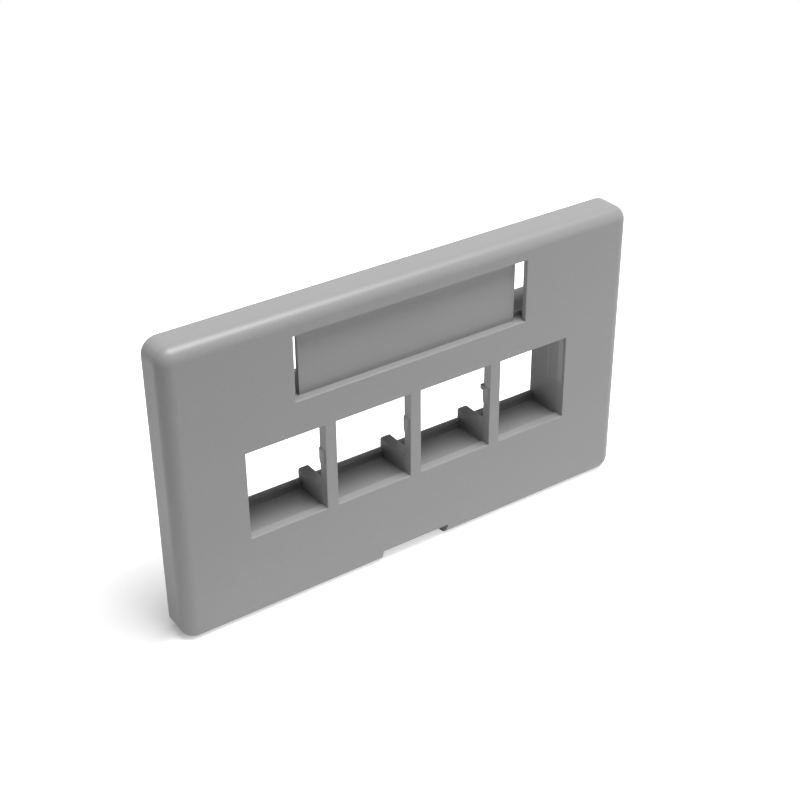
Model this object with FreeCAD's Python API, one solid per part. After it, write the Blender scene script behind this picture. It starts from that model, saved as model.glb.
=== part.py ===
import FreeCAD, Part
import os

# Four-port keystone faceplate for a furniture panel, moulded in one piece.
# X runs along the long edge, Y from the front face to the rear, Z up.
# Y = 0 is the rear edge of the rim, which bears on the panel. X = 0 and Z = 0 are the middle of the plate.
# All sizes are in millimetres.

# Plate shell
PLATE_WIDTH = 92.2
PLATE_HEIGHT = 55.0
PLATE_DEPTH = 6.2
EDGE_RADIUS = 2.35
CORNER_RADIUS = 2.7
FACE_THICKNESS = 1.85
RIM_THICKNESS = 1.5
INNER_RADIUS = 0.5

# Row of keystone openings in the face
PORT_COUNT = 4
PORT_WIDTH = 14.8
PORT_HEIGHT = 16.5
PORT_PITCH = 17.0
PORT_SILL = -11.2
PORT_EDGE_RADIUS = 0.12

# Box behind the openings that holds the jacks
BOX_DEPTH = 9.45
BOX_END_WALL = 1.2
BOX_FLOOR_WALL = 1.5
BOX_ROOF_WALL = 1.5
BOX_CORNER_RADIUS = 0.8
FLOOR_DROP = 0.5
ROOF_CLEARANCE = 4.65
DIVIDER_RISE = 3.0
DIVIDER_TOP_RADIUS = 0.4

# Catches at the rear of the box: a lip for the fixed lug below, a hook for the spring latch above
LIP_RISE = 1.1
LIP_THICKNESS = 1.0
LIP_CHAMFER = 0.3
HOOK_DROP = 3.0
HOOK_THICKNESS = 1.3
HOOK_LEAD_IN = 0.7

# Hoods on the roof of the box, one over each spring latch
HOOD_INSET = 0.8
HOOD_WALL = 1.2
HOOD_RISE = 1.05
HOOD_RADIUS = 0.4

# Raised pads on the sides of each opening, which grip the jack
PAD_HEIGHT = 3.7
PAD_ABOVE_SILL = 7.9
PAD_PROUD = 0.22
PAD_LEAD_IN = 1.2
PAD_TOP_RAMP = 0.3
PAD_SETBACK = 0.5

# Those on the end walls of the box start lower, reach up to the top of the opening and run deeper
END_PAD_ABOVE_SILL = 6.6
END_PAD_DEPTH = 4.2
END_PAD_RAMP = 0.4

# Small moulding nub on the rear of the last bar between openings
NUB_SIZE = 0.9
NUB_PROUD = 0.9
NUB_ABOVE_SILL = 10.7
NUB_RADIUS = 0.3

# Label pocket above the openings, with a slot at each end for the tabs of a label cover
POCKET_WIDTH = 46.5
POCKET_HEIGHT = 11.8
POCKET_BOTTOM = 11.6
POCKET_DEPTH = 1.5
POCKET_PANEL = 0.7
POCKET_FRAME = 1.2
POCKET_EDGE_RADIUS = 0.15
SLOT_WIDTH = 1.5
SLOT_LIP = 1.0
SLOT_UNDERCUT = 0.9

# Notch in the lower edge for a screwdriver blade
NOTCH_WIDTH = 14.0
NOTCH_HEIGHT = 2.5

# Snap arms that clip behind a 1.6 mm panel in a furniture opening 34.9 mm high
OPENING_HEIGHT = 34.9
OPENING_CLEARANCE = 0.25
PANEL_THICKNESS = 1.6
PANEL_CLEARANCE = 0.15
ARM_WIDTH = 8.0
ARM_THICKNESS = 1.4
ARM_ROOT_FLARE = 0.7
ARM_HOOK = 0.9
ARM_HOOK_LAND = 0.4
ARM_HOOK_LENGTH = 2.8
ARM_X_TOP = 11.0
ARM_X_BOTTOM = 22.0

# Stiffening ribs on the rear of the face, which fall away towards the rim
RIB_THICKNESS = 1.0
RIB_HEIGHT = 2.2
RIB_HEIGHT_AT_RIM = 1.2
RIB_X = 28.0

# How far joined solids reach into each other, and how far cutting solids run past a surface
OVERLAP = 0.3
PAST = 1.0

FRONT = -PLATE_DEPTH
FACE_BACK = FRONT + FACE_THICKNESS
BOX_BACK = FRONT + BOX_DEPTH
PORT_TOP = PORT_SILL + PORT_HEIGHT
BOX_FLOOR = PORT_SILL - FLOOR_DROP
BOX_ROOF = PORT_TOP + ROOF_CLEARANCE
BOX_HALF = (PORT_COUNT - 1) * PORT_PITCH / 2 + PORT_WIDTH / 2
HOOD_WIDTH = PORT_WIDTH - 2 * HOOD_INSET
BAR_WIDTH = PORT_PITCH - PORT_WIDTH
POCKET_TOP = POCKET_BOTTOM + POCKET_HEIGHT
PANEL_BACK = FRONT + POCKET_DEPTH + POCKET_PANEL
PORT_CENTRES = [(i - (PORT_COUNT - 1) / 2) * PORT_PITCH for i in range(PORT_COUNT)]
BAR_CENTRES = [(a + b) / 2 for a, b in zip(PORT_CENTRES, PORT_CENTRES[1:])]


def block(x0, x1, y0, y1, z0, z1):
    corner = FreeCAD.Vector(min(x0, x1), min(y0, y1), min(z0, z1))
    return Part.makeBox(abs(x1 - x0), abs(y1 - y0), abs(z1 - z0), corner)


def prism(points, direction):
    """Solid from a closed outline of points, run along one direction."""
    face = Part.Face(Part.makePolygon(points + points[:1]))
    return face.extrude(direction)


def prism_along_x(profile, x0, x1):
    """Solid from a closed outline of (y, z) points."""
    return prism([FreeCAD.Vector(x0, y, z) for y, z in profile], FreeCAD.Vector(x1 - x0, 0, 0))


def prism_along_y(profile, y0, y1):
    """Solid from a closed outline of (x, z) points."""
    return prism([FreeCAD.Vector(x, y0, z) for x, z in profile], FreeCAD.Vector(0, y1 - y0, 0))


def prism_along_z(profile, z0, z1):
    """Solid from a closed outline of (x, y) points."""
    return prism([FreeCAD.Vector(x, y, z0) for x, y in profile], FreeCAD.Vector(0, 0, z1 - z0))


def join(solids):
    first, rest = solids[0], solids[1:]
    return first.fuse(rest).removeSplitter()


def edges_along_y(shape):
    """Straight edges of a shape that run from front to rear."""
    axis = FreeCAD.Vector(0, 1, 0)
    return [e for e in shape.Edges
            if len(e.Vertexes) == 2
            and (e.Vertexes[1].Point - e.Vertexes[0].Point).cross(axis).Length < 1e-6]


def edges_at(shape, y):
    """Edges of a shape that lie wholly in the plane at y."""
    return [e for e in shape.Edges
            if abs(e.BoundBox.YMin - y) < 1e-5 and abs(e.BoundBox.YMax - y) < 1e-5]


def rounded_block(width, height, radius, y0, y1):
    """Block centred on X and Z with its four long corners rounded."""
    solid = block(-width / 2, width / 2, y0, y1, -height / 2, height / 2)
    return solid.makeFillet(radius, edges_along_y(solid))


def shell():
    """The plate: rounded front edge, hollow rear, rim all round."""
    outer = rounded_block(PLATE_WIDTH, PLATE_HEIGHT, CORNER_RADIUS, FRONT, 0)
    outer = outer.makeFillet(EDGE_RADIUS, edges_at(outer, FRONT))
    hollow = rounded_block(PLATE_WIDTH - 2 * RIM_THICKNESS, PLATE_HEIGHT - 2 * RIM_THICKNESS,
                           CORNER_RADIUS - RIM_THICKNESS, FACE_BACK, PAST)
    hollow = hollow.makeFillet(INNER_RADIUS, edges_at(hollow, FACE_BACK))
    return outer.cut(hollow)


def box():
    """Walls that stand behind the row of openings, with a hood over each spring latch."""
    half = BOX_HALF + BOX_END_WALL
    root = FACE_BACK - OVERLAP
    roof = BOX_ROOF + BOX_ROOF_WALL
    walls = block(-half, half, root, BOX_BACK, BOX_FLOOR - BOX_FLOOR_WALL, roof)
    solids = [walls.makeFillet(BOX_CORNER_RADIUS, edges_along_y(walls))]
    for x in PORT_CENTRES:
        hood = block(x - HOOD_WIDTH / 2, x + HOOD_WIDTH / 2, root, BOX_BACK, BOX_ROOF, roof + HOOD_RISE)
        solids.append(hood.makeFillet(HOOD_RADIUS, edges_along_y(hood)))
    return join(solids)


def box_space():
    """Room inside the box: one space across all jacks, with latch room under each hood."""
    rear = BOX_BACK + PAST
    space = block(-BOX_HALF, BOX_HALF, FACE_BACK, rear, BOX_FLOOR, BOX_ROOF)
    inner = HOOD_WIDTH / 2 - HOOD_WALL
    rooms = [block(x - inner, x + inner, FACE_BACK, rear, BOX_ROOF - PAST, BOX_ROOF + HOOD_RISE)
             for x in PORT_CENTRES]
    return join([space] + rooms)


def dividers():
    """Low walls with rounded tops between neighbouring jacks, as wide as the bars in the face."""
    top = PORT_SILL + DIVIDER_RISE
    radius = min(DIVIDER_TOP_RADIUS, BAR_WIDTH / 2.2)
    walls = []
    for x in BAR_CENTRES:
        wall = block(x - BAR_WIDTH / 2, x + BAR_WIDTH / 2, FACE_BACK - OVERLAP, BOX_BACK,
                     BOX_FLOOR - OVERLAP, top)
        upper = [e for e in edges_along_y(wall) if e.BoundBox.ZMin > top - 1e-3]
        walls.append(wall.makeFillet(radius, upper))
    return walls


def lip():
    """Lip along the rear of the floor, behind which the fixed lug of each jack sits."""
    low = BOX_FLOOR - OVERLAP
    top = PORT_SILL + LIP_RISE
    front = BOX_BACK - LIP_THICKNESS
    profile = [(front, low), (front, top - LIP_CHAMFER), (front + LIP_CHAMFER, top),
               (BOX_BACK, top), (BOX_BACK, low)]
    return prism_along_x(profile, -BOX_HALF - OVERLAP, BOX_HALF + OVERLAP)


def latch_hooks():
    """Catches that hang from the roof at the rear, one for the spring latch of each jack."""
    top = BOX_ROOF + HOOD_RISE + OVERLAP
    low = BOX_ROOF - HOOK_DROP
    front = BOX_BACK - HOOK_THICKNESS
    profile = [(front, top), (front, low), (BOX_BACK - HOOK_LEAD_IN, low),
               (BOX_BACK, low + 2 * HOOK_LEAD_IN), (BOX_BACK, top)]
    half = HOOD_WIDTH / 2 - HOOD_WALL + OVERLAP
    return [prism_along_x(profile, x - half, x + half) for x in PORT_CENTRES]


def port_openings():
    """Openings through the face, one per jack."""
    half = PORT_WIDTH / 2
    return [block(x - half, x + half, FRONT - PAST, FACE_BACK + OVERLAP, PORT_SILL, PORT_TOP)
            for x in PORT_CENTRES]


def side_pad(wall_x, side, depths, heights):
    """Thin pad on a side wall; side is the direction in which it stands out.

    depths are its front, the start of its rear ramp and its rear.
    heights are the foot and head of its lead-in, the start of its top ramp and its top.
    """
    y0, y_ramp, y1 = depths
    z0, z_lead, z_ramp, z1 = heights
    root = wall_x - side * OVERLAP
    tip = wall_x + side * PAD_PROUD
    from_front = [(root, z0), (wall_x, z0), (tip, z_lead), (tip, z_ramp), (wall_x, z1), (root, z1)]
    from_above = [(root, y0), (tip, y0), (tip, y_ramp), (wall_x, y1), (root, y1)]
    return prism_along_y(from_front, y0, y1).common(prism_along_z(from_above, z0, z1))


def bar_pad(wall_x, side):
    """Pad on the side of a bar between two openings, as deep as the bar."""
    low = PORT_SILL + PAD_ABOVE_SILL
    high = low + PAD_HEIGHT
    depths = (FRONT + PAD_SETBACK, FACE_BACK, FACE_BACK)
    return side_pad(wall_x, side, depths, (low, low + PAD_LEAD_IN, high - PAD_TOP_RAMP, high))


def end_pad(wall_x, side):
    """Pad on an end wall of the box, with a short ramp at its foot and at its rear."""
    front = FRONT + PAD_SETBACK
    rear = front + END_PAD_DEPTH
    low = PORT_SILL + END_PAD_ABOVE_SILL
    return side_pad(wall_x, side, (front, rear - END_PAD_RAMP, rear),
                    (low, low + END_PAD_RAMP, PORT_TOP, PORT_TOP))


def grip_pads():
    """A pad on each side of every opening."""
    pads = []
    for i, x in enumerate(PORT_CENTRES):
        for side, at_end in ((1, i == 0), (-1, i == PORT_COUNT - 1)):
            wall_x = x - side * PORT_WIDTH / 2
            pads.append(end_pad(wall_x, side) if at_end else bar_pad(wall_x, side))
    return pads


def nub():
    """The one small lump left on the rear of a bar, flush with the pad on its left side."""
    left = BAR_CENTRES[-1] - BAR_WIDTH / 2 - PAD_PROUD
    low = PORT_SILL + NUB_ABOVE_SILL
    rear = FACE_BACK + NUB_PROUD
    solid = block(left, left + NUB_SIZE, FACE_BACK - OVERLAP, rear, low, low + NUB_SIZE)
    return solid.makeFillet(NUB_RADIUS, edges_at(solid, rear))


def pocket_back():
    """Panel behind the label pocket, stepped back so that it keeps its strength."""
    half = POCKET_WIDTH / 2 - SLOT_WIDTH
    return block(-half, half, FACE_BACK - OVERLAP, PANEL_BACK,
                 POCKET_BOTTOM - POCKET_FRAME, POCKET_TOP + POCKET_FRAME)


def pocket():
    """Recess for the label, the slots at its ends and the undercuts behind their lips."""
    half = POCKET_WIDTH / 2
    behind = PANEL_BACK + OVERLAP
    cuts = [block(-half, half, FRONT - PAST, FRONT + POCKET_DEPTH, POCKET_BOTTOM, POCKET_TOP)]
    for side in (-1, 1):
        outer = side * (half + SLOT_UNDERCUT)
        inner = side * (half - SLOT_WIDTH)
        cuts.append(block(side * half, inner, FRONT, behind, POCKET_BOTTOM, POCKET_TOP))
        cuts.append(block(outer, inner, FRONT + SLOT_LIP, behind, POCKET_BOTTOM, POCKET_TOP))
    return cuts


def notch():
    """Screwdriver notch through the lower edge."""
    low = -PLATE_HEIGHT / 2
    return block(-NOTCH_WIDTH / 2, NOTCH_WIDTH / 2, FRONT - PAST, PAST, low - PAST, low + NOTCH_HEIGHT)


def snap_arm(x, side):
    """Springy arm with a ramped hook; side is 1 for the upper edge of the opening, -1 for the lower."""
    outer = side * (OPENING_HEIGHT / 2 - OPENING_CLEARANCE)
    inner = outer - side * ARM_THICKNESS
    hook = outer + side * ARM_HOOK
    catch = PANEL_THICKNESS + PANEL_CLEARANCE
    tip = catch + ARM_HOOK_LENGTH
    root = FACE_BACK - OVERLAP
    profile = [(root, inner - side * ARM_ROOT_FLARE), (root, outer), (catch, outer),
               (catch, hook), (catch + ARM_HOOK_LAND, hook), (tip, outer - side * ARM_THICKNESS / 3),
               (tip, inner), (0, inner)]
    return prism_along_x(profile, x - ARM_WIDTH / 2, x + ARM_WIDTH / 2)


def snap_arms():
    """Two arms above and two below the box, clear of the label slots."""
    arms = []
    for sign in (-1, 1):
        arms.append(snap_arm(sign * ARM_X_TOP, 1))
        arms.append(snap_arm(sign * ARM_X_BOTTOM, -1))
    return arms


def ribs():
    """Ribs from the box to the rim: a pair above, a pair below and one at each end."""
    half = RIB_THICKNESS / 2
    base = FACE_BACK - OVERLAP
    at_box = FACE_BACK + RIB_HEIGHT
    at_rim = FACE_BACK + RIB_HEIGHT_AT_RIM
    rim_x = PLATE_WIDTH / 2 - RIM_THICKNESS + OVERLAP
    rim_z = PLATE_HEIGHT / 2 - RIM_THICKNESS + OVERLAP
    box_x = BOX_HALF + BOX_END_WALL - OVERLAP
    box_top = BOX_ROOF + BOX_ROOF_WALL - OVERLAP
    box_bottom = BOX_FLOOR - BOX_FLOOR_WALL + OVERLAP
    middle = (PORT_SILL + PORT_TOP) / 2
    solids = []
    for sign in (-1, 1):
        x = sign * RIB_X
        for near, far in ((box_top, rim_z), (box_bottom, -rim_z)):
            profile = [(base, near), (at_box, near), (at_rim, far), (base, far)]
            solids.append(prism_along_x(profile, x - half, x + half))
        profile = [(sign * box_x, base), (sign * box_x, at_box), (sign * rim_x, at_rim), (sign * rim_x, base)]
        solids.append(prism_along_z(profile, middle - half, middle + half))
    return solids


def front_edges_within(shape, x0, x1, z0, z1):
    """Edges in the front plane that lie inside a rectangle."""
    edges = []
    for e in edges_at(shape, FRONT):
        b = e.BoundBox
        if b.XMin > x0 - 1e-3 and b.XMax < x1 + 1e-3 and b.ZMin > z0 - 1e-3 and b.ZMax < z1 + 1e-3:
            edges.append(e)
    return edges


def soften_front_edges(shape):
    """Rounds the front edges of the openings and of the label pocket slightly."""
    half = PORT_WIDTH / 2
    edges = []
    for x in PORT_CENTRES:
        edges += front_edges_within(shape, x - half, x + half, PORT_SILL, PORT_TOP)
    shape = shape.makeFillet(min(PORT_EDGE_RADIUS, BAR_WIDTH / 3), edges)
    edges = front_edges_within(shape, -POCKET_WIDTH / 2, POCKET_WIDTH / 2, POCKET_BOTTOM, POCKET_TOP)
    return shape.makeFillet(POCKET_EDGE_RADIUS, edges)


def faceplate():
    body = join([shell(), box(), pocket_back()] + snap_arms() + ribs())
    body = body.cut([box_space(), notch()] + port_openings() + pocket())
    body = join([body, lip(), nub()] + dividers() + latch_hooks() + grip_pads())
    return soften_front_edges(body)


def main():
    os.makedirs("parts", exist_ok=True)
    shape = faceplate()
    solids = shape.Solids
    assert len(solids) == 1 and solids[0].isValid()
    solids[0].exportStep("parts/faceplate.step")


main()
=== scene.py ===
import math
import random

import bmesh
import bpy
from mathutils import Matrix, Quaternion, Vector


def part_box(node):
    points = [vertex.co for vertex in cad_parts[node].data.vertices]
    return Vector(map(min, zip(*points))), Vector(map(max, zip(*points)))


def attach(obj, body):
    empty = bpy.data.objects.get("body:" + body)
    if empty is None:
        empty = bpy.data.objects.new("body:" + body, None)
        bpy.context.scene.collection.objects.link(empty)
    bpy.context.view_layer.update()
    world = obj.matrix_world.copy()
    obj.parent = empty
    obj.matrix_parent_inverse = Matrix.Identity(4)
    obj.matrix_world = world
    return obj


bl_info = {
    "name": "Keystone Faceplate Looks",
    "version": (1, 0, 0),
    "blender": (4, 5, 0),
    "location": "3D View > Sidebar > Faceplate",
    "description": "Moulded plastic finish, ejector pin marks and a studio stage for a keystone faceplate",
    "category": "Object",
}

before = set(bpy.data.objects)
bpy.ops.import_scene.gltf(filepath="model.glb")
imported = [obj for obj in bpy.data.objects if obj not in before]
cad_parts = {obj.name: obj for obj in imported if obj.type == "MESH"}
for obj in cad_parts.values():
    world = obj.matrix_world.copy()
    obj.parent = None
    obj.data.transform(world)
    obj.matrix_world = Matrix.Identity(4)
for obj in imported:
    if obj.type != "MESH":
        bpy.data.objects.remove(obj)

NODE = "faceplate"
BODY = "root"
MM = 0.001
MICRON = 0.000001

LOW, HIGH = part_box(NODE)
PLATE_WIDTH = HIGH.x - LOW.x
PLATE_HEIGHT = HIGH.z - LOW.z
RIM_THICKNESS = 1.5 * MM
FACE_THICKNESS = 1.85 * MM

# A depth behind the whole part, where the lines that seat the marks start
BEHIND_ALL = 2 * HIGH.y

# From the outer ejector pins to the sides of the plate, and to its top and bottom
PIN_TO_SIDE = 10.1 * MM
PIN_TO_TOP = 6.5 * MM


# Sizes and colours that a user would change

class FinishSettings(bpy.types.PropertyGroup):
    colour: bpy.props.FloatVectorProperty(
        name="Plastic colour", description="Body colour of the moulding", subtype="COLOR", size=3,
        min=0, max=1, default=(0.3, 0.3, 0.3))
    roughness: bpy.props.FloatProperty(
        name="Roughness", description="Roughness of the grained outside", subtype="FACTOR",
        min=0, max=1, default=0.38)
    inner_roughness: bpy.props.FloatProperty(
        name="Inner roughness", description="Roughness of the duller rear, behind the face",
        subtype="FACTOR", min=0, max=1, default=0.6)
    grain_size: bpy.props.FloatProperty(
        name="Grain size", description="Width of one grain of the moulded texture", unit="LENGTH",
        default=0.16 * MM)
    grain_depth: bpy.props.FloatProperty(
        name="Grain depth", description="Height of the moulded texture", unit="LENGTH",
        default=4 * MICRON)
    edge_round: bpy.props.FloatProperty(
        name="Edge rounding", description="Radius of the small rounding on sharp edges", unit="LENGTH",
        default=0.12 * MM)


class MouldMarkSettings(bpy.types.PropertyGroup):
    pin_diameter: bpy.props.FloatProperty(
        name="Pin diameter", description="Diameter of an ejector pin mark", unit="LENGTH", default=3.0 * MM)
    pin_height: bpy.props.FloatProperty(
        name="Pin mark height", description="Height of a pin mark above the rear face", unit="LENGTH",
        default=0.08 * MM)
    columns: bpy.props.IntProperty(
        name="Columns", description="Ejector pins along the plate", min=2, default=4)
    rows: bpy.props.IntProperty(
        name="Rows", description="Ejector pins across the plate", min=2, default=2)
    span: bpy.props.FloatProperty(
        name="Span", description="Distance between the first and the last column", unit="LENGTH",
        default=PLATE_WIDTH - 2 * PIN_TO_SIDE)
    rise: bpy.props.FloatProperty(
        name="Rise", description="Distance between the lowest and the highest row", unit="LENGTH",
        default=PLATE_HEIGHT - 2 * PIN_TO_TOP)
    gate_diameter: bpy.props.FloatProperty(
        name="Gate diameter", description="Diameter of the stub left by the gate", unit="LENGTH",
        default=1.6 * MM)
    gate_height: bpy.props.FloatProperty(
        name="Gate height", description="Height of the stub left by the gate", unit="LENGTH",
        default=0.3 * MM)
    gate_place: bpy.props.FloatProperty(
        name="Gate place", description="Height of the gate above the middle of the plate", unit="LENGTH",
        default=17.5 * MM)


class StageSettings(bpy.types.PropertyGroup):
    floor_size: bpy.props.FloatProperty(
        name="Floor size", description="Side of the square floor", unit="LENGTH", default=0.4)
    floor_colour: bpy.props.FloatVectorProperty(
        name="Floor colour", description="Colour of the floor", subtype="COLOR", size=3,
        min=0, max=1, default=(0.84, 0.84, 0.84))


# Node helpers

def new_material(name):
    material = bpy.data.materials.new(name)
    material.use_nodes = True
    material.node_tree.nodes.clear()
    return material, material.node_tree


def add(tree, kind, **values):
    """A node with its settings and its unlinked inputs set; inputs are named with spaces as underscores."""
    node = tree.nodes.new(kind)
    for name, value in values.items():
        socket = name.replace("_", " ")
        if socket in node.inputs:
            node.inputs[socket].default_value = value
        else:
            setattr(node, name, value)
    return node


def link(tree, source, target):
    tree.links.new(source, target)


def maths(tree, operation, first, second):
    """Result of a maths node; each side is another node's output or a plain number."""
    node = add(tree, "ShaderNodeMath", operation=operation)
    for value, socket in zip((first, second), node.inputs):
        if isinstance(value, bpy.types.NodeSocket):
            link(tree, value, socket)
        else:
            socket.default_value = value
    return node.outputs["Value"]


def mapped(tree, value, target, source=(0, 1)):
    """A value carried from the source range to the target range, and held at its ends."""
    node = add(tree, "ShaderNodeMapRange", From_Min=source[0], From_Max=source[1],
               To_Min=target[0], To_Max=target[1])
    link(tree, value, node.inputs["Value"])
    return node.outputs["Result"]


def noise(tree, place, scale, detail, roughness):
    """Value of a noise texture at a place."""
    node = add(tree, "ShaderNodeTexNoise", Scale=scale, Detail=detail, Roughness=roughness)
    link(tree, place, node.inputs["Vector"])
    return node.outputs["Fac"]


def split(tree, place):
    """The X, Y and Z of a place."""
    axes = add(tree, "ShaderNodeSeparateXYZ")
    link(tree, place, axes.inputs["Vector"])
    return axes.outputs


def moulded_with_the_plate(mark):
    """Fixes a mark to the moving frame of the plate."""
    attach(mark, BODY)


# Materials

# Slow drift in tone over the plate, and flecks a few grains wide in tone and gloss
DRIFT_SCALE = 28.0
DRIFT_TONE = (0.965, 1.035)
FLECK_GRAINS = 2.2
FLECK_RANGE = (0.25, 0.75)
FLECK_TONE = (0.97, 1.03)
FLECK_GLOSS = (-0.06, 0.06)

# Strength of the grain and of the gloss, outside and behind the face
GRAIN_STRENGTH = (0.6, 0.15)
SPECULAR_LEVEL = (0.5, 0.2)
BEVEL_SAMPLES = 6
PLASTIC_IOR = 1.5

# The finish of the rear starts a little in front of the face's rear surface
REAR_FINISH_FROM = LOW.y + 0.9 * FACE_THICKNESS


def behind_the_face(tree, place):
    """1 on the surfaces of the hollow rear, which are duller than the outside, with less grain, else 0."""
    axes = split(tree, place)
    inside = maths(tree, "GREATER_THAN", axes["Y"], REAR_FINISH_FROM)
    for axis, side in (("X", PLATE_WIDTH), ("Z", PLATE_HEIGHT)):
        limit = side / 2 - RIM_THICKNESS / 2
        inside = maths(tree, "MULTIPLY", inside, maths(tree, "GREATER_THAN", axes[axis], -limit))
        inside = maths(tree, "MULTIPLY", inside, maths(tree, "LESS_THAN", axes[axis], limit))
    return inside


def plastic(settings):
    """Mid grey moulded plastic: fine grain outside, a slow drift in tone, softly rounded edges."""
    material, tree = new_material("grey_moulded_plastic")
    place = add(tree, "ShaderNodeTexCoord").outputs["Object"]
    hidden = behind_the_face(tree, place)
    drift = noise(tree, place, DRIFT_SCALE, detail=2.0, roughness=0.5)
    fleck = noise(tree, place, 1 / (FLECK_GRAINS * settings.grain_size), detail=3.0, roughness=0.6)
    grain = noise(tree, place, 1 / settings.grain_size, detail=2.0, roughness=0.55)

    flecked = mapped(tree, fleck, FLECK_TONE, FLECK_RANGE)
    colour = add(tree, "ShaderNodeVectorMath", operation="SCALE")
    colour.inputs[0].default_value = settings.colour
    link(tree, maths(tree, "MULTIPLY", mapped(tree, drift, DRIFT_TONE), flecked), colour.inputs["Scale"])

    finish = mapped(tree, hidden, (settings.roughness, settings.inner_roughness))
    roughness = maths(tree, "ADD", finish, mapped(tree, fleck, FLECK_GLOSS))

    soft_edges = add(tree, "ShaderNodeBevel", samples=BEVEL_SAMPLES, Radius=settings.edge_round)
    bump = add(tree, "ShaderNodeBump", Distance=settings.grain_depth)
    link(tree, mapped(tree, hidden, GRAIN_STRENGTH), bump.inputs["Strength"])
    link(tree, grain, bump.inputs["Height"])
    link(tree, soft_edges.outputs["Normal"], bump.inputs["Normal"])

    shader = add(tree, "ShaderNodeBsdfPrincipled", IOR=PLASTIC_IOR)
    link(tree, colour.outputs["Vector"], shader.inputs["Base Color"])
    link(tree, roughness, shader.inputs["Roughness"])
    link(tree, mapped(tree, hidden, SPECULAR_LEVEL), shader.inputs["Specular IOR Level"])
    link(tree, bump.outputs["Normal"], shader.inputs["Normal"])
    output = add(tree, "ShaderNodeOutputMaterial")
    link(tree, shader.outputs["BSDF"], output.inputs["Surface"])
    return material


# The floor's own glow where it is seen, a painted light that washes out the plate's shadow on the floor:
# full away from the plate, low in the shadow beside its lower left corner, and between the two beneath the
# plate, where the notch shows it
LIFT_FAR = 0.8
LIFT_NEAR = 0.22
NOTCH_SHADE = 0.65

# How far that shadow reaches from the corner, and where it sets in from the front to the rear
SHADOW_REACH = 38 * MM
SHADOW_EDGE = (LOW.y - 0.5 * MM, LOW.y + 3.5 * MM)

# Share of the glow that reflections see
MIRRORED_LIFT = 0.25


def seen_directly(tree, mirrored=1.0):
    """1 for rays that see the background straight or through glass, `mirrored` in reflections, else 0."""
    ray = add(tree, "ShaderNodeLightPath").outputs
    straight = maths(tree, "MAXIMUM", ray["Is Camera Ray"], ray["Is Transmission Ray"])
    return maths(tree, "MAXIMUM", straight, maths(tree, "MULTIPLY", ray["Is Glossy Ray"], mirrored))


def floor_paint(settings):
    """Pale matte floor with a painted glow that lifts it to white where it is seen and hides the plate's
    shadow, less so where that shadow is left to show.
    """
    material, tree = new_material("pale_floor")
    place = add(tree, "ShaderNodeTexCoord").outputs["Object"]
    depth = split(tree, place)["Y"]
    from_corner = add(tree, "ShaderNodeVectorMath", operation="DISTANCE")
    link(tree, place, from_corner.inputs[0])
    from_corner.inputs[1].default_value = (LOW.x, 0, LOW.z)

    # Zones where the painted glow is lowered, so that the plate's real shadow shows there
    beside = mapped(tree, from_corner.outputs["Value"], (1, 0), (SHADOW_REACH / 2, SHADOW_REACH))
    beneath = mapped(tree, depth, (NOTCH_SHADE, 0), (0, HIGH.y))
    behind = mapped(tree, depth, (0, 1), SHADOW_EDGE)
    shade = maths(tree, "MULTIPLY", maths(tree, "MAXIMUM", beside, beneath), behind)
    lift = mapped(tree, shade, (LIFT_FAR, LIFT_NEAR))

    matte = add(tree, "ShaderNodeBsdfDiffuse", Color=(*settings.floor_colour, 1))
    glow = add(tree, "ShaderNodeEmission", Color=(1, 1, 1, 1))
    link(tree, maths(tree, "MULTIPLY", seen_directly(tree, MIRRORED_LIFT), lift), glow.inputs["Strength"])
    both = add(tree, "ShaderNodeAddShader")
    link(tree, matte.outputs["BSDF"], both.inputs[0])
    link(tree, glow.outputs["Emission"], both.inputs[1])
    output = add(tree, "ShaderNodeOutputMaterial")
    link(tree, both.outputs["Shader"], output.inputs["Surface"])
    return material


# Marks that the mould leaves on the rear of the face

PIN_MARK_SIDES = 40
GATE_SIDES = 28

# Shape of the stub at the gate: its top's radius, the whole edge left around the break, and how deep the
# break goes, as shares of its radius and height
GATE_TAPER = 0.82
GATE_EDGE = 0.3
GATE_BREAK = (0.1, 0.55)
GATE_SEED = 5


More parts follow.
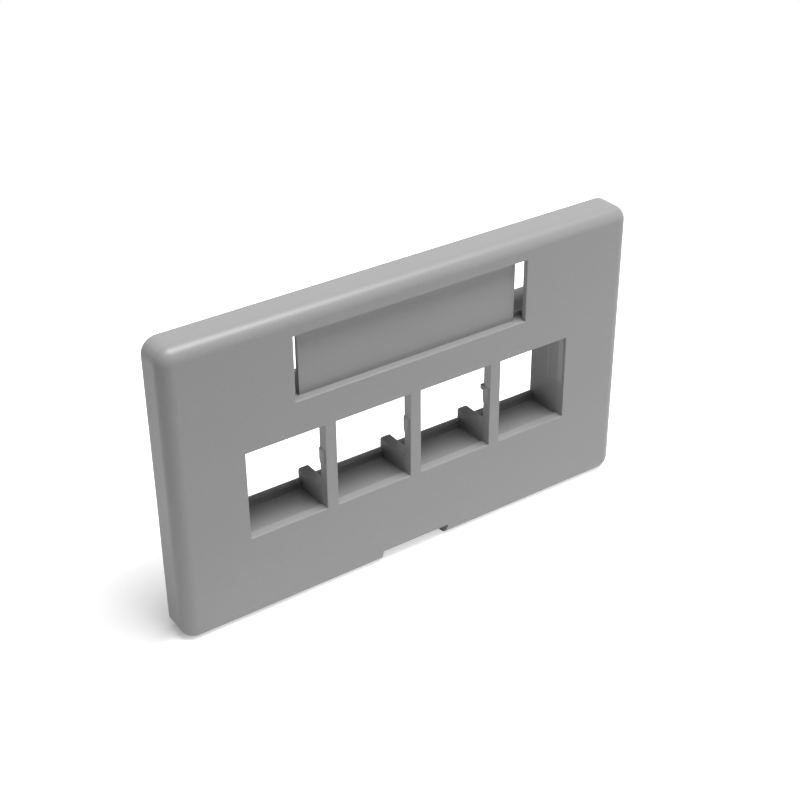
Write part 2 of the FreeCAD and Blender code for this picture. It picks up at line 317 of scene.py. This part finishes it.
def ejector_tree():
    """Low discs in a regular pattern, each seated where a straight line from the rear meets the plate."""
    tree = bpy.data.node_groups.new("ejector_marks", "GeometryNodeTree")
    for name, kind in (("Plate", "NodeSocketObject"), ("Material", "NodeSocketMaterial"),
                       ("Diameter", "NodeSocketFloat"), ("Height", "NodeSocketFloat"),
                       ("Columns", "NodeSocketInt"), ("Rows", "NodeSocketInt"),
                       ("Span", "NodeSocketFloat"), ("Rise", "NodeSocketFloat"),
                       ("Rear", "NodeSocketFloat")):
        tree.interface.new_socket(name, in_out="INPUT", socket_type=kind)
    tree.interface.new_socket("Geometry", in_out="OUTPUT", socket_type="NodeSocketGeometry")
    sizes = add(tree, "NodeGroupInput").outputs

    grid = add(tree, "GeometryNodeMeshGrid")
    link(tree, sizes["Span"], grid.inputs["Size X"])
    link(tree, sizes["Rise"], grid.inputs["Size Y"])
    link(tree, sizes["Columns"], grid.inputs["Vertices X"])
    link(tree, sizes["Rows"], grid.inputs["Vertices Y"])
    behind = add(tree, "ShaderNodeCombineXYZ")
    link(tree, sizes["Rear"], behind.inputs["Y"])
    upright = add(tree, "GeometryNodeTransform", Rotation=(math.pi / 2, 0, 0))
    link(tree, grid.outputs["Mesh"], upright.inputs["Geometry"])
    link(tree, behind.outputs["Vector"], upright.inputs["Translation"])

    plate = add(tree, "GeometryNodeObjectInfo")
    link(tree, sizes["Plate"], plate.inputs["Object"])
    ray = add(tree, "GeometryNodeRaycast", Ray_Direction=(0, -1, 0))
    link(tree, plate.outputs["Geometry"], ray.inputs["Target Geometry"])
    seat = add(tree, "GeometryNodeSetPosition")
    link(tree, upright.outputs["Geometry"], seat.inputs["Geometry"])
    link(tree, ray.outputs["Is Hit"], seat.inputs["Selection"])
    link(tree, ray.outputs["Hit Position"], seat.inputs["Position"])

    radius = maths(tree, "DIVIDE", sizes["Diameter"], 2)
    edge = maths(tree, "SUBTRACT", radius, sizes["Height"])
    disc = add(tree, "GeometryNodeMeshCone", Vertices=PIN_MARK_SIDES)
    link(tree, edge, disc.inputs["Radius Top"])
    link(tree, radius, disc.inputs["Radius Bottom"])
    link(tree, sizes["Height"], disc.inputs["Depth"])
    marks = add(tree, "GeometryNodeInstanceOnPoints", Rotation=(-math.pi / 2, 0, 0))
    link(tree, seat.outputs["Geometry"], marks.inputs["Points"])
    link(tree, disc.outputs["Mesh"], marks.inputs["Instance"])

    real = add(tree, "GeometryNodeRealizeInstances")
    link(tree, marks.outputs["Instances"], real.inputs["Geometry"])
    paint = add(tree, "GeometryNodeSetMaterial")
    link(tree, real.outputs["Geometry"], paint.inputs["Geometry"])
    link(tree, sizes["Material"], paint.inputs["Material"])
    output = add(tree, "NodeGroupOutput")
    link(tree, paint.outputs["Geometry"], output.inputs["Geometry"])
    return tree


def grown_from(tree, name, **values):
    """Plain mesh object made by a node tree, with the tree's named inputs set."""
    mark = bpy.data.objects.new(name, bpy.data.meshes.new(name))
    bpy.context.scene.collection.objects.link(mark)
    modifier = mark.modifiers.new(name, "NODES")
    modifier.node_group = tree
    for socket in tree.interface.items_tree:
        if socket.in_out == "INPUT":
            modifier[socket.identifier] = values[socket.name]
    whole = mark.evaluated_get(bpy.context.evaluated_depsgraph_get())
    mesh = bpy.data.meshes.new_from_object(whole)
    mark.modifiers.clear()
    mark.data = mesh
    mesh.name = name
    return mark


def rear_face_at(x, z):
    """Place where a straight line from the rear meets the plate."""
    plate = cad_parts[NODE]
    hit, place, _, _ = plate.ray_cast(Vector((x, BEHIND_ALL, z)), Vector((0, -1, 0)))
    if not hit:
        raise RuntimeError("no plate behind the gate mark")
    return place


def gate_mark(settings, material):
    """Short broken stub where the plastic entered the mould."""
    radius = settings.gate_diameter / 2
    height = settings.gate_height
    chance = random.Random(GATE_SEED)
    shape = bmesh.new()
    bmesh.ops.create_cone(shape, cap_ends=True, cap_tris=False, segments=GATE_SIDES, radius1=radius,
                          radius2=GATE_TAPER * radius, depth=height)
    top = max(shape.faces, key=lambda face: face.normal.z)
    bmesh.ops.inset_region(shape, faces=[top], thickness=GATE_EDGE * radius, depth=0)
    for vertex in top.verts:
        vertex.co.z -= height * chance.uniform(*GATE_BREAK)
    bmesh.ops.triangulate(shape, faces=[top])
    base = min(shape.faces, key=lambda face: face.normal.z)
    bmesh.ops.delete(shape, geom=[base], context="FACES_ONLY")
    bmesh.ops.translate(shape, verts=shape.verts, vec=(0, 0, height / 2))
    bmesh.ops.rotate(shape, verts=shape.verts, matrix=Matrix.Rotation(-math.pi / 2, 3, "X"))
    bmesh.ops.translate(shape, verts=shape.verts, vec=rear_face_at(0, settings.gate_place))
    mesh = bpy.data.meshes.new("gate_mark")
    shape.to_mesh(mesh)
    shape.free()
    mesh.materials.append(material)
    mark = bpy.data.objects.new("gate_mark", mesh)
    bpy.context.scene.collection.objects.link(mark)
    return mark


# Stage

# Camera fitted to the edges seen in the photo; the lens is in millimetres
CAMERA_AZIMUTH = math.radians(-34.42)
CAMERA_ELEVATION = math.radians(31.28)
CAMERA_ROLL = math.radians(-0.438)
CAMERA_DISTANCE = 254.73 * MM
CAMERA_TARGET = Vector((-3.26, -6.2, 4.98)) * MM
CAMERA_LENS = 68.46

# Softboxes: name, azimuth and elevation in degrees as seen from the object, distance and width in metres,
# power in watts
SOFTBOXES = (
    ("key_softbox", 34, 74, 0.9, 0.5, 10.2),
    ("left_softbox", -64, 66, 0.9, 0.5, 1.3),
    ("front_softbox", 50, 10, 0.3, 0.2, 0.12),
    ("rear_softbox", 184, 8, 0.9, 0.5, 2.4),
)


def direction(azimuth, elevation):
    """Unit vector from the object towards a place at that azimuth and elevation; azimuth 0 is in front."""
    return Vector((math.sin(azimuth) * math.cos(elevation), -math.cos(azimuth) * math.cos(elevation),
                   math.sin(elevation)))


def add_camera():
    camera = bpy.data.objects.new("camera", bpy.data.cameras.new("camera"))
    away = direction(CAMERA_AZIMUTH, CAMERA_ELEVATION)
    camera.location = CAMERA_TARGET + away * CAMERA_DISTANCE
    camera.rotation_mode = "QUATERNION"
    camera.rotation_quaternion = (-away).to_track_quat("-Z", "Y") @ Quaternion((0, 0, 1), CAMERA_ROLL)
    camera.data.lens = CAMERA_LENS
    camera.data.clip_start = 1 * MM
    bpy.context.scene.collection.objects.link(camera)
    bpy.context.scene.camera = camera


def add_softbox(name, azimuth, elevation, distance, width, power):
    lamp = bpy.data.lights.new(name, "AREA")
    lamp.shape = "SQUARE"
    lamp.size = width
    lamp.energy = power
    away = direction(math.radians(azimuth), math.radians(elevation))
    softbox = bpy.data.objects.new(name, lamp)
    softbox.location = away * distance
    softbox.rotation_mode = "QUATERNION"
    softbox.rotation_quaternion = (-away).to_track_quat("-Z", "Y")
    bpy.context.scene.collection.objects.link(softbox)


def add_world():
    world = bpy.data.worlds.new("studio")
    world.use_nodes = True
    tree = world.node_tree
    tree.nodes.clear()
    background = add(tree, "ShaderNodeBackground", Color=(1, 1, 1, 1))
    link(tree, seen_directly(tree), background.inputs["Strength"])
    output = add(tree, "ShaderNodeOutputWorld")
    link(tree, background.outputs["Background"], output.inputs["Surface"])
    bpy.context.scene.world = world


def add_floor(settings):
    half = settings.floor_size / 2
    mesh = bpy.data.meshes.new("floor")
    corners = [(-half, -half, LOW.z), (half, -half, LOW.z), (half, half, LOW.z), (-half, half, LOW.z)]
    mesh.from_pydata(corners, [], [(0, 1, 2, 3)])
    mesh.materials.append(floor_paint(settings))
    floor = bpy.data.objects.new("floor", mesh)
    bpy.context.scene.collection.objects.link(floor)


# Operators

class FACEPLATE_OT_moulding(bpy.types.Operator):
    """Give the faceplate its moulded plastic"""
    bl_idname = "faceplate.moulding"
    bl_label = "Finish the moulding"

    def execute(self, context):
        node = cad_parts[NODE]
        node.data.materials.clear()
        node.data.materials.append(plastic(context.scene.faceplate_finish))
        return {"FINISHED"}


class FACEPLATE_OT_ejector_marks(bpy.types.Operator):
    """Leave the round marks of the ejector pins on the rear of the face"""
    bl_idname = "faceplate.ejector_marks"
    bl_label = "Add ejector pin marks"

    def execute(self, context):
        settings = context.scene.faceplate_marks
        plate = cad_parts[NODE]
        mark = grown_from(ejector_tree(), "ejector_marks", Plate=plate, Material=plate.data.materials[0],
                          Diameter=settings.pin_diameter, Height=settings.pin_height,
                          Columns=settings.columns, Rows=settings.rows, Span=settings.span,
                          Rise=settings.rise, Rear=BEHIND_ALL)
        if max(v.co.y for v in mark.data.vertices) > 0:
            raise RuntimeError("an ejector pin misses the rear face")
        moulded_with_the_plate(mark)
        return {"FINISHED"}


class FACEPLATE_OT_gate_mark(bpy.types.Operator):
    """Leave the short stub of the gate behind the label pocket"""
    bl_idname = "faceplate.gate_mark"
    bl_label = "Add gate mark"

    def execute(self, context):
        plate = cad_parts[NODE]
        mark = gate_mark(context.scene.faceplate_marks, plate.data.materials[0])
        moulded_with_the_plate(mark)
        return {"FINISHED"}


class FACEPLATE_OT_stage(bpy.types.Operator):
    """Set up the floor, the softboxes, the pale surroundings and the camera"""
    bl_idname = "faceplate.stage"
    bl_label = "Set up the stage"

    def execute(self, context):
        add_floor(context.scene.faceplate_stage)
        add_world()
        for softbox in SOFTBOXES:
            add_softbox(*softbox)
        add_camera()
        context.scene.view_settings.view_transform = "Standard"
        return {"FINISHED"}


class FACEPLATE_PT_panel(bpy.types.Panel):
    bl_label = "Keystone faceplate"
    bl_space_type = "VIEW_3D"
    bl_region_type = "UI"
    bl_category = "Faceplate"

    def draw(self, context):
        scene = context.scene
        for settings in (scene.faceplate_finish, scene.faceplate_marks, scene.faceplate_stage):
            box = self.layout.box()
            for name in settings.bl_rna.properties.keys():
                if name not in ("rna_type", "name"):
                    box.prop(settings, name)
        for operator in OPERATORS:
            self.layout.operator(operator.bl_idname)


OPERATORS = (FACEPLATE_OT_moulding, FACEPLATE_OT_ejector_marks, FACEPLATE_OT_gate_mark, FACEPLATE_OT_stage)
CLASSES = (FinishSettings, MouldMarkSettings, StageSettings, *OPERATORS, FACEPLATE_PT_panel)


def register():
    for cls in CLASSES:
        bpy.utils.register_class(cls)
    bpy.types.Scene.faceplate_finish = bpy.props.PointerProperty(type=FinishSettings)
    bpy.types.Scene.faceplate_marks = bpy.props.PointerProperty(type=MouldMarkSettings)
    bpy.types.Scene.faceplate_stage = bpy.props.PointerProperty(type=StageSettings)


def unregister():
    del bpy.types.Scene.faceplate_stage
    del bpy.types.Scene.faceplate_marks
    del bpy.types.Scene.faceplate_finish
    for cls in reversed(CLASSES):
        bpy.utils.unregister_class(cls)


def main():
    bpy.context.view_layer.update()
    register()
    bpy.ops.faceplate.moulding()
    bpy.ops.faceplate.ejector_marks()
    bpy.ops.faceplate.gate_mark()
    bpy.ops.faceplate.stage()


if __name__ == "__main__":
    main()
